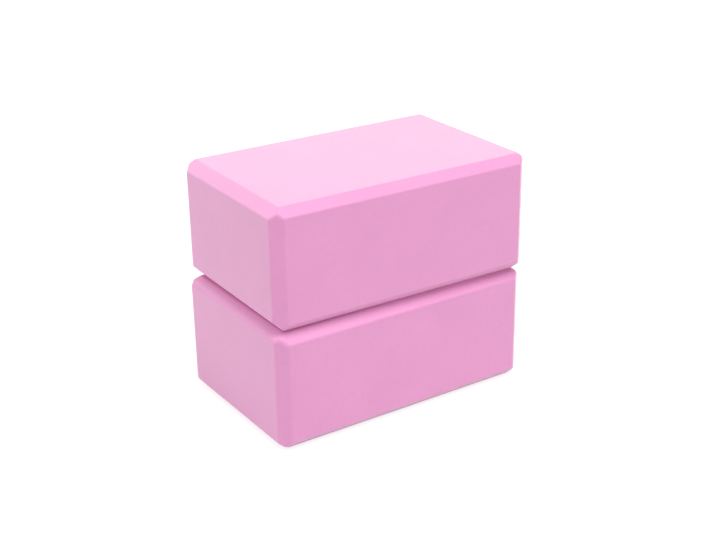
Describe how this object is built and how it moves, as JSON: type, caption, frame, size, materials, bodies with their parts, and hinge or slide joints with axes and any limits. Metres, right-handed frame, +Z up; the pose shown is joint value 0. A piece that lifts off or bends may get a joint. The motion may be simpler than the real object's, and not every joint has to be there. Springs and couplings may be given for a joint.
{
  "type": "yoga block pair",
  "caption": "Stacked foam yoga blocks: solid chamfered bricks of closed-cell foam that support hands, hips or head; the upper one lifts off.",
  "frame": {"origin": "centre of the lower block's bottom face, on the surface that the pair stands on", "axes": "+X along the lower block's long edges, +Y along its short edges, +Z up through the stack"},
  "size_m": [0.2334, 0.1516, 0.194],
  "materials": {
    "eva_foam": "matte pink closed-cell EVA foam, cut and lightly skived"
  },
  "bodies": {
    "lower_block": {"lower_block": "eva_foam"},
    "upper_block": {"upper_block": "eva_foam"}
  },
  "joints": [
    {"name": "upper_block_lift", "type": "slide", "parent": "lower_block", "child": "upper_block", "axis": [0, 0, 1], "range_m": [0, 0.1]}
  ]
}
